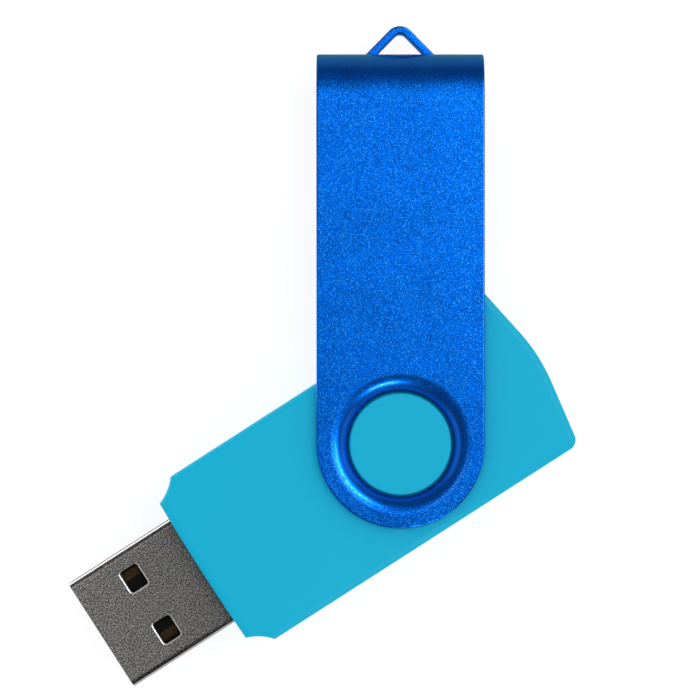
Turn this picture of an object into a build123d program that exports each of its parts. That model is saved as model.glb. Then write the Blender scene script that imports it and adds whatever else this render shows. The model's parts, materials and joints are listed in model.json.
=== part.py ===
from build123d import *
import os
from math import cos, radians, sin, tan

# A USB flash drive in a moulded two-part housing, with a bent sheet-metal cover that swivels
# all the way round it. All sizes are in millimetres.
#
# Frame: the drive lies flat, +Z is up, and Z = 0 is the face it lies on. +Y runs along the
# cover from the swivel axis to the lanyard loop. The origin is the middle of the footprint.
# At rest the cover stands OPEN_ANGLE away from closed over the plug.

# ---------------------------------------------------------------- driving dimensions
THICKNESS = 10.8  # over the two arms of the cover
OPEN_ANGLE = 122.7  # degrees from the plug round to the cover
FIT = 0.05  # clearance between pieces that are fitted together

# swivel cover, one strip of aluminium sheet bent into a U
SHEET = 0.8
COVER_WIDTH = 16.5
COVER_REACH = 38.5  # swivel axis to the outside of the closed end
BEND_RADIUS = 4.3  # outside of each bend
COVER_EDGE_ROUND = 0.18
COLLAR_RADIUS = 1.9  # outside of the collar rolled inwards round each swivel hole
COLLAR_TURN = 78.0  # degrees that the collar turns down from the flat
SWIVEL_HOLE_RADIUS = 5.12

# lanyard loop, a narrow strip lanced out of the closed end
LOOP_STRIP = 2.0  # width of the strip, along Z
LOOP_CUT = 0.08  # gap that the lancing leaves each side of the strip
LOOP_HALF_SPAN = 3.25  # middle of the cover to where a leg starts
LOOP_LEG_ANGLE = 45.5
LOOP_TIP_BEND = 1.1  # radii to the middle of the sheet
LOOP_FOOT_BEND = 0.9

# housing, two shells that meet at half height
RUNNING_GAP = 0.3  # between the housing's flat faces and the arms
HOUSING_WIDTH = 19.0
NOSE_REACH = 23.25  # swivel axis to the middle of the plug end
NOSE_CORNER = (23.1, 7.85)
SHOULDER_X = 20.75
CORNER_HOLLOW = 0.2  # how far each front corner cut is hollowed
TAIL_REACH = 16.05
TAIL_SLOPE = 9.3  # degrees that each half of the tail end falls back
TAIL_TIP_ROUND = 17.6
TAIL_CORNER_ROUND = 1.1
HOUSING_EDGE_ROUND = 0.7
PARTING_CHAMFER = 0.12
WALL = 1.2
LIP = (0.5, 0.5)  # thickness and height of the lip that locates the shells
BOSS_RADIUS = 5.0
BOSS_RISE = 0.3  # above the housing's flat face
BOSS_EDGE_ROUND = 0.2
GROOVE_RADIUS = 6.6  # outside of the groove that the cover's collar turns in
GROOVE_DEPTH = 0.85
GROOVE_FLOOR = 0.9  # wall left under the groove
RIB_THICKNESS = 1.0
PLUG_RIB_X = 20.3
POST_RADIUS = 0.9
POST_PLACES = ((13.3, 6.3), (-11.2, 6.3))  # one each side of the middle

# plug
PLUG_REACH = 35.1  # swivel axis to the plug's tip
PLUG_WIDTH = 12.0
PLUG_HEIGHT = 4.5
PLUG_SHEET = 0.3
PLUG_CORNER = 0.65
PLUG_TUBE = 15.9
PLUG_LEG = (2.85, 1.8)  # length and height
PLUG_SEAM = 0.06
PLUG_EDGE_ROUND = 0.1
WINDOW = (1.95, 2.4, 0.3)  # along, across, corner radius
WINDOW_BACK = 5.8  # plug tip to the middle of a window
WINDOW_SPACING = 6.0
TONGUE_BACK = 0.4  # plug tip to the end of the tongue
TONGUE_TOP = 5.45
CAVITY_DEPTH = 9.1
CONTACT_WIDTH = 1.0
CONTACT_THICKNESS = 0.25
CONTACT_LOW = 5.3
CONTACT_TAIL_X = 16.6
CONTACTS = {  # name: place across the plug, plug tip to the contact's end
    "contact_power": (-3.5, 1.6),
    "contact_data_minus": (-1.0, 2.6),
    "contact_data_plus": (1.0, 2.6),
    "contact_ground": (3.5, 1.6),
}

# circuit board and what is soldered to it
BOARD_TOP = CONTACT_LOW
BOARD_THICKNESS = 0.8
BOARD_WIDTH = 15.0
BOARD_FRONT_X = 15.2
BOARD_BACK_X = -12.9
BOARD_CORNER = 0.6
NECK = (18.9, 11.3)  # how far the neck reaches, and its width
LEAD_SHEET = 0.13
LEAD_WIDTH = 0.22
LEAD_PITCH = 0.5
STANDOFF = 0.1  # board to the underside of a chip
FLASH_X = 1.0
FLASH_BODY = (18.4, 12.0, 1.0)
FLASH_LEADS_EACH_END = 24
CONTROLLER_X = -3.0
CONTROLLER_BODY = (7.0, 7.0, 1.3)
CONTROLLER_LEADS_EACH_SIDE = 12
LEAD_REACH = 0.9  # from a chip's side to the end of its leads
CHIP_BEVEL = 0.1
DIMPLE_RADIUS = 0.5
SOLDER_RUN = 0.4  # how far a solder fillet spreads over the board
CRYSTAL_X = 7.5
CRYSTAL_BASE = (3.2, 5.0, 0.6)
CRYSTAL_LID = (2.7, 4.5, 0.4)
CHIP_LENGTH = 1.6  # capacitors and resistors
CHIP_WIDTH = 0.8
CAPACITOR_HEIGHT = 0.8
RESISTOR_HEIGHT = 0.45
TERMINAL = 0.3
CAPACITOR_PLACES = ((12.4, -3.4), (12.4, -1.2), (12.4, 1.2), (12.4, 3.4), (-10.9, 0.0))
RESISTOR_PLACES = ((3.0, -5.2), (3.0, -2.0), (3.0, 2.0), (3.0, 5.2), (-9.2, -2.2), (-9.2, 2.2))

# ---------------------------------------------------------------- worked out from them
MIDDLE = THICKNESS / 2
HALF_COVER = COVER_WIDTH / 2
HOUSING_LOW = SHEET + RUNNING_GAP
HALF_WIDTH = HOUSING_WIDTH / 2
NOSE_DIRECTION = 90 + OPEN_ANGLE  # degrees from +X
COLLAR_START = SWIVEL_HOLE_RADIUS + COLLAR_RADIUS * sin(radians(COLLAR_TURN))
BOARD_LOW = BOARD_TOP - BOARD_THICKNESS


def bulge(radius, angle):
    """How far a rounded corner stays inside the point where its two sides would meet."""
    return radius * (1 / cos(radians(angle)) - 1)


LOOP_RISE = LOOP_HALF_SPAN * tan(radians(LOOP_LEG_ANGLE))
LOOP_TIP_Y = COVER_REACH + LOOP_RISE - bulge(LOOP_TIP_BEND, LOOP_LEG_ANGLE)
TAIL_POINT_X = -TAIL_REACH - bulge(TAIL_TIP_ROUND, TAIL_SLOPE)
TAIL_FALL = tan(radians(TAIL_SLOPE))


def from_pivot(along, across):
    """Footprint coordinates, from the swivel axis, of a point on the drive."""
    turn = radians(NOSE_DIRECTION)
    return (
        along * cos(turn) - across * sin(turn),
        along * sin(turn) + across * cos(turn),
    )


# The footprint is bounded by the plug's two corners, the tail's corner and the loop's tip.
LOW_X = from_pivot(PLUG_REACH, -PLUG_WIDTH / 2)[0]
LOW_Y = from_pivot(PLUG_REACH, PLUG_WIDTH / 2)[1]
TAIL_CORNER_Y = HALF_WIDTH - TAIL_CORNER_ROUND
TAIL_CORNER_X = (
    TAIL_POINT_X + TAIL_CORNER_Y * TAIL_FALL + TAIL_CORNER_ROUND / cos(radians(TAIL_SLOPE))
)
HIGH_X = from_pivot(TAIL_CORNER_X, TAIL_CORNER_Y)[0] + TAIL_CORNER_ROUND
PIVOT_X = -(LOW_X + HIGH_X) / 2
PIVOT_Y = -(LOW_Y + LOOP_TIP_Y) / 2

# Each sub-part is drawn from the swivel axis: the cover along the part's own axes, and the
# drive with its local +X towards the plug. The upper shell is drawn upside down.
COVER = Plane(origin=(PIVOT_X, PIVOT_Y, 0))
PLUG_WAY = (*from_pivot(1, 0), 0)
DRIVE = Plane(origin=(PIVOT_X, PIVOT_Y, 0), x_dir=PLUG_WAY, z_dir=(0, 0, 1))
DRIVE_INVERTED = Plane(origin=(PIVOT_X, PIVOT_Y, THICKNESS), x_dir=PLUG_WAY, z_dir=(0, 0, -1))


def across_drive(along):
    """Plane square to the drive, at half height. Its X is the drive's width, its Y is up."""
    origin = DRIVE.from_local_coords(Vector(along, 0, MIDDLE))
    return Plane(origin=origin, x_dir=DRIVE.y_dir, z_dir=DRIVE.x_dir)


def beside_drive(across):
    """Upright plane along the drive. Its X points to the plug, its Y is up from Z = 0."""
    origin = DRIVE.from_local_coords(Vector(0, across, 0))
    return Plane(origin=origin, x_dir=DRIVE.x_dir, z_dir=-DRIVE.y_dir)


def finish(part, name):
    """Labels a sub-part and writes its STEP file."""
    part.label = name
    export_step(part, f"parts/{name}.step")


os.makedirs("parts", exist_ok=True)

# ---------------------------------------------------------------- swivel cover
def cover_collar():
    """Collar drawn inwards round the lower swivel hole, as a solid of revolution."""
    middle = (COLLAR_START, COLLAR_RADIUS)
    with BuildPart() as collar:
        with BuildSketch(Plane.XZ) as profile:
            with BuildLine():
                outer = CenterArc(middle, COLLAR_RADIUS, -90, -COLLAR_TURN)
                inner = CenterArc(middle, COLLAR_RADIUS - SHEET, -90, -COLLAR_TURN)
                Line(outer @ 0, inner @ 0)
                Line(outer @ 1, inner @ 1)
            make_face()
            fillet(profile.vertices().sort_by(Axis.X)[:2], SHEET / 4)
        revolve(axis=Axis.Z)
    return collar.part


with BuildPart() as swivel_cover:
    with BuildSketch(Plane(origin=COVER.origin, x_dir=(0, 1, 0), z_dir=(1, 0, 0))):
        with Locations((COVER_REACH, 0)):
            bent = Rectangle(COVER_REACH + HALF_COVER, THICKNESS, align=(Align.MAX, Align.MIN))
        fillet(bent.vertices().sort_by(Axis.X)[-2:], BEND_RADIUS)
        with BuildSketch(mode=Mode.SUBTRACT):
            with Locations((COVER_REACH - SHEET, SHEET)):
                inside = Rectangle(
                    COVER_REACH + COVER_WIDTH,
                    THICKNESS - 2 * SHEET,
                    align=(Align.MAX, Align.MIN),
                )
            fillet(inside.vertices().sort_by(Axis.X)[-2:], BEND_RADIUS - SHEET)
    extrude(amount=HALF_COVER, both=True)
    with BuildSketch(COVER):
        Circle(HALF_COVER)
        Rectangle(COVER_WIDTH, COVER_REACH, align=(Align.CENTER, Align.MIN))
    extrude(amount=THICKNESS, mode=Mode.INTERSECT)
    strip_sides = swivel_cover.faces().filter_by(Axis.X) + swivel_cover.faces().filter_by(
        lambda face: face.geom_type == GeomType.CYLINDER and abs(face.radius - HALF_COVER) < 0.01
    )
    long_edges = [
        edge
        for edge in swivel_cover.edges()
        if sum(edge in side.edges() for side in strip_sides) == 1
    ]
    fillet(long_edges, COVER_EDGE_ROUND)

    with BuildSketch(COVER):
        Circle(COLLAR_START)
    extrude(amount=THICKNESS, mode=Mode.SUBTRACT)
    with Locations(COVER.location):
        add(cover_collar())
    with Locations(COVER.offset(THICKNESS).location):
        add(mirror(cover_collar(), about=Plane.XY, mode=Mode.PRIVATE))

    # slot in the closed end, then the strip that was pushed out of it
    with BuildSketch(COVER.offset(MIDDLE)):
        with Locations((0, COVER_REACH)):
            Rectangle(2 * LOOP_HALF_SPAN + LOOP_FOOT_BEND, 3 * SHEET)
    extrude(amount=LOOP_STRIP / 2 + LOOP_CUT, both=True, mode=Mode.SUBTRACT)
    with BuildSketch(COVER.offset(MIDDLE)):
        with BuildLine():
            foot = COVER_REACH - SHEET / 2
            strip = FilletPolyline(
                (-LOOP_HALF_SPAN - 1.5, foot),
                (-LOOP_HALF_SPAN, foot),
                (0, foot + LOOP_RISE),
                (LOOP_HALF_SPAN, foot),
                (LOOP_HALF_SPAN + 1.5, foot),
                radius=[LOOP_FOOT_BEND, LOOP_TIP_BEND, LOOP_FOOT_BEND],
            )
            offset(strip, amount=SHEET / 2, side=Side.BOTH, mode=Mode.REPLACE)
        make_face()
    extrude(amount=LOOP_STRIP / 2, both=True)
finish(swivel_cover.part, "swivel_cover")


# ---------------------------------------------------------------- housing
def housing_outline(inset=0.0):
    """Outline of the housing from above, or the same outline drawn inset from it."""
    nose_x, nose_y = NOSE_CORNER
    with BuildSketch() as outline:
        with BuildLine():
            ThreePointArc((nose_x, -nose_y), (NOSE_REACH, 0), (nose_x, nose_y))
            SagittaArc((nose_x, nose_y), (SHOULDER_X, HALF_WIDTH), CORNER_HOLLOW)
            FilletPolyline(
                (SHOULDER_X, HALF_WIDTH),
                (TAIL_POINT_X + HALF_WIDTH * TAIL_FALL, HALF_WIDTH),
                (TAIL_POINT_X, 0),
                (TAIL_POINT_X + HALF_WIDTH * TAIL_FALL, -HALF_WIDTH),
                (SHOULDER_X, -HALF_WIDTH),
                radius=[TAIL_CORNER_ROUND, TAIL_TIP_ROUND, TAIL_CORNER_ROUND],
            )
            SagittaArc((SHOULDER_X, -HALF_WIDTH), (nose_x, -nose_y), CORNER_HOLLOW)
        make_face()
        if inset:
            offset(amount=-inset, kind=Kind.INTERSECTION)
    return outline.sketch


def housing_shell(side, post_top, has_lip):
    """One shell, with its flat face at the side plane's Z = HOUSING_LOW."""
    inward = Axis(side.origin, side.z_dir)
    floor = HOUSING_LOW + WALL
    pad = HOUSING_LOW + GROOVE_DEPTH + GROOVE_FLOOR
    boss_face = HOUSING_LOW - BOSS_RISE
    plug_face = MIDDLE - PLUG_HEIGHT / 2 - FIT
    with BuildPart() as shell:
        with BuildSketch(side.offset(HOUSING_LOW)):
            add(housing_outline())
        extrude(amount=MIDDLE - HOUSING_LOW)
        fillet(shell.faces().sort_by(inward)[0].edges(), HOUSING_EDGE_ROUND)
        chamfer(shell.faces().sort_by(inward)[-1].edges(), PARTING_CHAMFER)
        with BuildSketch(side.offset(floor)):
            add(housing_outline(WALL))
        extrude(amount=MIDDLE - floor, mode=Mode.SUBTRACT)

        # pad, groove for the cover's collar, and the boss that the cover turns on
        with BuildSketch(side.offset(HOUSING_LOW + WALL / 2)):
            Circle(GROOVE_RADIUS + WALL)
        extrude(amount=pad - HOUSING_LOW - WALL / 2)
        with BuildSketch(side.offset(boss_face)):
            Circle(GROOVE_RADIUS)
        extrude(amount=HOUSING_LOW + GROOVE_DEPTH - boss_face, mode=Mode.SUBTRACT)
        with BuildSketch(side.offset(boss_face)):
            Circle(BOSS_RADIUS)
        extrude(amount=pad - boss_face)
        fillet(shell.faces().sort_by(inward)[0].edges(), BOSS_EDGE_ROUND)
        with BuildSketch(side.offset(boss_face + WALL)):
            Circle(BOSS_RADIUS - WALL)
        extrude(amount=pad, mode=Mode.SUBTRACT)

        # rib that carries the plug, and posts that hold the board
        with BuildSketch(side.offset(HOUSING_LOW + WALL / 2)):
            with Locations((PLUG_RIB_X, 0)):
                Rectangle(RIB_THICKNESS, PLUG_WIDTH)
        extrude(amount=plug_face - HOUSING_LOW - WALL / 2)
        with BuildSketch(side.offset(HOUSING_LOW + WALL / 2)):
            for post_x, post_y in POST_PLACES:
                with Locations((post_x, post_y), (post_x, -post_y)):
                    Circle(POST_RADIUS)
        extrude(amount=post_top - HOUSING_LOW - WALL / 2)

        # lip on one shell, and the rebate that it enters on the other
        thickness, height = LIP
        with BuildSketch(side.offset(MIDDLE)):
            add(housing_outline(WALL - thickness - (0 if has_lip else FIT)))
            add(housing_outline(WALL), mode=Mode.SUBTRACT)
        if has_lip:
            extrude(amount=height)
        else:
            extrude(amount=-height - FIT, mode=Mode.SUBTRACT)

        with BuildSketch(across_drive(NOSE_REACH + 1)):
            RectangleRounded(PLUG_WIDTH + 2 * FIT, PLUG_HEIGHT + 2 * FIT, PLUG_CORNER + FIT)
        extrude(amount=PLUG_RIB_X - NOSE_REACH - 1, mode=Mode.SUBTRACT)
    return shell.part


finish(housing_shell(DRIVE, BOARD_LOW, has_lip=True), "housing_bottom")
finish(housing_shell(DRIVE_INVERTED, THICKNESS - BOARD_TOP, has_lip=False), "housing_top")


# ---------------------------------------------------------------- plug
with BuildPart() as plug_shell:
    with BuildSketch(across_drive(PLUG_REACH)):
        RectangleRounded(PLUG_WIDTH, PLUG_HEIGHT, PLUG_CORNER)
    extrude(amount=-PLUG_TUBE)
    fillet(plug_shell.faces().sort_by(Axis(DRIVE.origin, DRIVE.x_dir))[-1].edges(), PLUG_EDGE_ROUND)
    with BuildSketch(across_drive(PLUG_REACH)):
        RectangleRounded(
            PLUG_WIDTH - 2 * PLUG_SHEET, PLUG_HEIGHT - 2 * PLUG_SHEET, PLUG_CORNER - PLUG_SHEET
        )
    extrude(amount=-PLUG_TUBE, mode=Mode.SUBTRACT)
    with BuildSketch(DRIVE):
        with Locations((PLUG_REACH - WINDOW_BACK, 0)):
            with GridLocations(0, WINDOW_SPACING, 1, 2):
                RectangleRounded(*WINDOW)
    extrude(amount=THICKNESS, mode=Mode.SUBTRACT)
    # folded seam along the underside
    with BuildSketch(DRIVE):
        Rectangle(PLUG_REACH, PLUG_SEAM, align=(Align.MIN, Align.CENTER))
    extrude(amount=MIDDLE, mode=Mode.SUBTRACT)
    leg_length, leg_height = PLUG_LEG
    with BuildSketch(DRIVE.offset((BOARD_LOW + BOARD_TOP - leg_height) / 2)):
        with Locations((PLUG_REACH - PLUG_TUBE - leg_length / 2, 0)):
            with GridLocations(0, PLUG_WIDTH - PLUG_SHEET, 1, 2):
                Rectangle(leg_length, PLUG_SHEET)
    extrude(amount=leg_height)
finish(plug_shell.part, "plug_shell")

INSULATOR_WIDTH = PLUG_WIDTH - 2 * (PLUG_SHEET + FIT)
INSULATOR_HEIGHT = PLUG_HEIGHT - 2 * (PLUG_SHEET + FIT)
CAVITY_END = PLUG_REACH - CAVITY_DEPTH
BLOCK_LENGTH = PLUG_TUBE - CAVITY_DEPTH - FIT
with BuildPart() as plug_insulator:
    tongue_height = TONGUE_TOP - (MIDDLE - INSULATOR_HEIGHT / 2)
    with BuildSketch(across_drive(PLUG_REACH - TONGUE_BACK)) as tongue:
        with Locations((0, -INSULATOR_HEIGHT / 2)):
            Rectangle(INSULATOR_WIDTH, tongue_height, align=(Align.CENTER, Align.MIN))
        fillet(tongue.vertices(), PLUG_CORNER - PLUG_SHEET)
    extrude(amount=TONGUE_BACK - CAVITY_DEPTH)
    with BuildSketch(across_drive(CAVITY_END)):
        RectangleRounded(INSULATOR_WIDTH, INSULATOR_HEIGHT, PLUG_CORNER - PLUG_SHEET)
    extrude(amount=-BLOCK_LENGTH)
    with BuildSketch(across_drive(PLUG_REACH)):
        for across, _ in CONTACTS.values():
            with Locations((across, CONTACT_LOW + CONTACT_THICKNESS / 2 - MIDDLE)):
                Rectangle(CONTACT_WIDTH, CONTACT_THICKNESS)
    extrude(amount=-PLUG_TUBE, mode=Mode.SUBTRACT)
finish(plug_insulator.part, "plug_insulator")

for contact_name, (across, contact_back) in CONTACTS.items():
    with BuildPart() as contact:
        with BuildSketch(beside_drive(across)) as strip:
            with Locations((CONTACT_TAIL_X, CONTACT_LOW)):
                Rectangle(
                    PLUG_REACH - contact_back - CONTACT_TAIL_X,
                    CONTACT_THICKNESS,
                    align=(Align.MIN, Align.MIN),
                )
            fillet(strip.vertices().group_by(Axis.Y)[-1], CONTACT_THICKNESS / 2)
        extrude(amount=CONTACT_WIDTH / 2, both=True)
    finish(contact.part, contact_name)


# ---------------------------------------------------------------- circuit board
with BuildPart() as circuit_board:
    with BuildSketch(DRIVE.offset(BOARD_LOW)) as board_outline:
        with Locations(((BOARD_FRONT_X + BOARD_BACK_X) / 2, 0)):
            RectangleRounded(BOARD_FRONT_X - BOARD_BACK_X, BOARD_WIDTH, BOARD_CORNER)
        neck_x, neck_width = NECK
        with Locations((neck_x, 0)):
            Rectangle(neck_x, neck_width, align=(Align.MAX, Align.CENTER))
    extrude(amount=BOARD_THICKNESS)
finish(circuit_board.part, "circuit_board")

BOARD_FACE = DRIVE.offset(BOARD_TOP)
BOARD_BACK_FACE = DRIVE_INVERTED.offset(THICKNESS - BOARD_LOW)


def block(face, places, size, lift=0.0):
    """The same rectangular body at each place on a face of the board, as separate solids."""
    length, width, height = size
    with BuildPart() as blocks:
        with BuildSketch(face.offset(lift)):
            with Locations(*places):
                Rectangle(length, width)
        extrude(amount=height)
    return blocks.part


def chip_body(face, chip_x, size):
    """Moulded body of a chip, with its upper edges bevelled and a dimple beside pin 1."""
    length, width, height = size
    outward = Axis(face.origin, face.z_dir)
    with BuildPart() as body:
        with BuildSketch(face.offset(STANDOFF)):
            with Locations((chip_x, 0)):
                Rectangle(length, width)
        extrude(amount=height)
        chamfer(body.faces().sort_by(outward)[-1].edges(), CHIP_BEVEL)
        with BuildSketch(face.offset(STANDOFF + height)):
            with Locations((chip_x - length / 2 + 2 * DIMPLE_RADIUS, 2 * DIMPLE_RADIUS - width / 2)):
                Circle(DIMPLE_RADIUS)
        extrude(amount=-CHIP_BEVEL, mode=Mode.SUBTRACT)
    return body.part


def chip_leads(face, chip_x, body, count, sides):
    """Bent leads of a chip: count of them on each of two or four sides."""
    length, width, height = body
    rise = STANDOFF + height / 2 + LEAD_SHEET / 2
    with BuildPart() as leads:
        for side in range(sides):
            turn = 360 / sides * side
            reach = (length if turn % 180 == 0 else width) / 2
            centre = face * Location((chip_x, 0, 0), (0, 0, turn))
            beside = Plane(centre) * Location((0, 0, 0), (90, 0, 0))
            with BuildSketch(*[
                Plane(beside * Location((0, 0, (i - (count - 1) / 2) * LEAD_PITCH)))
                for i in range(count)
            ]):
                with BuildLine():
                    line = Polyline(
                        (reach, rise),
                        (reach + LEAD_REACH / 3, rise),
                        (reach + LEAD_REACH / 2, LEAD_SHEET),
                        (reach + LEAD_REACH, LEAD_SHEET),
                        (reach + LEAD_REACH, 0),
                        (reach + LEAD_REACH / 2 - LEAD_SHEET, 0),
                        (reach + LEAD_REACH / 3 - LEAD_SHEET, rise - LEAD_SHEET),
                        (reach, rise - LEAD_SHEET),
                        close=True,
                    )
                make_face()
            extrude(amount=LEAD_WIDTH / 2, both=True)
    return leads.part


finish(chip_body(BOARD_FACE, FLASH_X, FLASH_BODY), "flash_chip")
finish(chip_leads(BOARD_FACE, FLASH_X, FLASH_BODY, FLASH_LEADS_EACH_END, 2), "flash_chip_leads")
finish(chip_body(BOARD_BACK_FACE, CONTROLLER_X, CONTROLLER_BODY), "controller_chip")
finish(
    chip_leads(
        BOARD_BACK_FACE, CONTROLLER_X, CONTROLLER_BODY, CONTROLLER_LEADS_EACH_SIDE, 4
    ),
    "controller_chip_leads",
)
finish(block(BOARD_BACK_FACE, [(CRYSTAL_X, 0)], CRYSTAL_BASE), "crystal_base")
finish(block(BOARD_BACK_FACE, [(CRYSTAL_X, 0)], CRYSTAL_LID, CRYSTAL_BASE[2]), "crystal_lid")

for piece, face, places, height in (
    ("capacitor", BOARD_FACE, CAPACITOR_PLACES, CAPACITOR_HEIGHT),
    ("resistor", BOARD_BACK_FACE, RESISTOR_PLACES, RESISTOR_HEIGHT),
):
    middle_length = CHIP_LENGTH - 2 * TERMINAL
    ends = [
        (x + way * (CHIP_LENGTH - TERMINAL) / 2, y) for x, y in places for way in (-1, 1)
    ]
    finish(block(face, places, (middle_length, CHIP_WIDTH, height)), f"{piece}_bodies")
    finish(block(face, ends, (TERMINAL, CHIP_WIDTH, height)), f"{piece}_terminals")

# Solder runs behind each contact's tail and along the inside of each of the plug's legs.
with BuildPart() as solder_joints:
    for across, _ in CONTACTS.values():
        with BuildSketch(beside_drive(across)):
            with BuildLine():
                Polyline(
                    (CONTACT_TAIL_X, BOARD_TOP),
                    (CONTACT_TAIL_X, BOARD_TOP + CONTACT_THICKNESS),
                    (CONTACT_TAIL_X - SOLDER_RUN, BOARD_TOP),
                    close=True,
                )
            make_face()
        extrude(amount=CONTACT_WIDTH / 2, both=True)
    leg_face = PLUG_WIDTH / 2 - PLUG_SHEET
    for way in (-1, 1):
        with BuildSketch(across_drive(NECK[0])):
            with BuildLine():
                Polyline(
                    (way * leg_face, BOARD_TOP - MIDDLE),
                    (way * leg_face, BOARD_TOP - MIDDLE + SOLDER_RUN),
                    (way * (leg_face - SOLDER_RUN), BOARD_TOP - MIDDLE),
                    close=True,
                )
            make_face()
        extrude(amount=-PLUG_LEG[0] + SOLDER_RUN)
finish(solder_joints.part, "solder_joints")
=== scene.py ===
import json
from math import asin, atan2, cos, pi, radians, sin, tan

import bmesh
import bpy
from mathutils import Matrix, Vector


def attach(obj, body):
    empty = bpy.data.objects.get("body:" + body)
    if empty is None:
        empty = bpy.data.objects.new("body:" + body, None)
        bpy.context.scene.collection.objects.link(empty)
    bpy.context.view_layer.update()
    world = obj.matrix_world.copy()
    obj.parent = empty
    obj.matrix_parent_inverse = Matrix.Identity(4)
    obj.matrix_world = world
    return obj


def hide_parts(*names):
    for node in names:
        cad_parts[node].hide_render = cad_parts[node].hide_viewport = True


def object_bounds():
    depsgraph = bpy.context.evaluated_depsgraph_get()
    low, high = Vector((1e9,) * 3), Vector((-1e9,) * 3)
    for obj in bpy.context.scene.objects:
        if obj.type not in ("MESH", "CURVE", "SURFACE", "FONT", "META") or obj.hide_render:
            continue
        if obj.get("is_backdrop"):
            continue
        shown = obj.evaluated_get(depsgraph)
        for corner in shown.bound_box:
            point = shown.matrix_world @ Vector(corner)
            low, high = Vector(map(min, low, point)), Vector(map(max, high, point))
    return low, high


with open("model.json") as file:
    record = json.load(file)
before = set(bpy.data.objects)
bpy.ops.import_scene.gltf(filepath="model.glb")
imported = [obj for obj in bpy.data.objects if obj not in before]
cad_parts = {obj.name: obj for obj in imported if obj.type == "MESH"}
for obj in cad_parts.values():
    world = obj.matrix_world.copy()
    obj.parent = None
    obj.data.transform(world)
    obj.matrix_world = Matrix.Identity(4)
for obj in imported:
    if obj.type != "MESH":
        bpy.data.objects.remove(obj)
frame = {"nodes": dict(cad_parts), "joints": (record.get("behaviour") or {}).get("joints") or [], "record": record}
cad_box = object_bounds()

# %% [markdown]
# # A swivel USB flash drive
#
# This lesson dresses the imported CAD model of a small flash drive. A strip of blue anodised
# aluminium is bent round a cyan plastic housing and turns on two round bosses, and a steel
# USB-A plug stands out of the housing's end. Every length is in metres, in the frame of the
# CAD model: +Z is up, and +Y runs along the cover to its lanyard loop.

MM = 0.001
swivel = next(joint for joint in frame["joints"] if joint["name"] == "cover_swivel")
PIVOT = Vector(swivel["pos_m"])
UP = Vector((0, 0, 1))
PLUG_WAY = next(Vector(m["axis"]) for m in frame["record"]["mounts"] if m["name"] == "usb_plug")
SIDE_WAY = UP.cross(PLUG_WAY)
PLUG_TURN = atan2(PLUG_WAY.y, PLUG_WAY.x)  # from +X
THICKNESS = cad_box[1][2]
print("swivel axis", [round(value / MM, 2) for value in PIVOT], "mm; plug points", PLUG_WAY)

# %% [markdown]
# ## Camera
#
# The drive is seen from straight above. A camera that isn't turned looks down -Z, so this one
# only needs its place. From 35 cm above the cover the near and the far faces hardly differ in
# scale, and the lens follows from the width that should fill the view.

# %% Camera
VIEW_WIDTH = 68.5 * MM  # seen at the height of the cover's face
VIEW_MIDDLE = (-4.95 * MM, 9.23 * MM)  # from the swivel axis
CAMERA_HEIGHT = 350 * MM
SENSOR = 36.0

bpy.ops.object.camera_add(
    location=(PIVOT.x + VIEW_MIDDLE[0], PIVOT.y + VIEW_MIDDLE[1], THICKNESS + CAMERA_HEIGHT),
    rotation=(0, 0, 0),
)
camera = bpy.context.object
camera.name = "studio_camera"
camera.data.sensor_width = SENSOR
camera.data.lens = SENSOR * CAMERA_HEIGHT / VIEW_WIDTH
camera.data.clip_start = 10 * MM
bpy.context.scene.camera = camera
print("lens", round(camera.data.lens, 1), "mm")

# %% [markdown]
# ## Node materials
#
# A material is a network of nodes, and sums are easier to read as sums. `Value` wraps a node's
# output, so that an expression such as `1 - mask * 0.5` adds its Math nodes by itself.
# `NodeTree` has one method, `node`, for every other node, and `Finish` is a material that has
# it. Patterns read Object coordinates: the pieces' objects lie at the origin, so their sizes
# are real sizes in metres.

# %% Sums of node outputs
class Value:
    """A node socket that can be used in Python sums, which add Math nodes to its tree."""

    def __init__(self, tree, socket):
        self.tree = tree
        self.socket = socket

    def math(self, operation, *others):
        return self.tree.node("ShaderNodeMath", {"operation": operation}, self, *others)

    def __add__(self, other):
        return self.math("ADD", other)

    def __radd__(self, other):
        return self.math("ADD", other)

    def __sub__(self, other):
        return self.math("SUBTRACT", other)

    def __rsub__(self, other):
        return self.tree.node("ShaderNodeMath", {"operation": "SUBTRACT"}, other, self)

    def __mul__(self, other):
        return self.math("MULTIPLY", other)

    def __rmul__(self, other):
        return self.math("MULTIPLY", other)


# %% Adding nodes
class NodeTree:
    """The nodes of a material or of the world."""

    def __init__(self, owner):
        owner.use_nodes = True
        self.nodes = owner.node_tree.nodes
        self.links = owner.node_tree.links

    def node(self, kind, settings=None, *inputs, output=0, at=None, **named):
        """Adds a node. Settings come first, then sockets by order, by number or by name."""
        node = self.nodes.new(kind)
        for setting, value in (settings or {}).items():
            if setting == "stops":
                self.fill_ramp(node.color_ramp, value)
            else:
                setattr(node, setting, value)
        pairs = list(zip(node.inputs, inputs))
        pairs += [(node.inputs[number], value) for number, value in (at or {}).items()]
        pairs += [(node.inputs[name.replace("_", " ")], value) for name, value in named.items()]
        for socket, value in pairs:
            if isinstance(value, Value):
                self.links.new(value.socket, socket)
            else:
                socket.default_value = value
        return Value(self, node.outputs[output])

    @staticmethod
    def fill_ramp(ramp, stops):
        while len(ramp.elements) < len(stops):
            ramp.elements.new(0.5)
        for element, (position, color) in zip(ramp.elements, stops):
            element.position = position
            element.color = color

    def show(self, shader, output_node):
        """Links a finished shader to the tree's output."""
        self.links.new(shader.socket, self.nodes[output_node].inputs[0])


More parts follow.
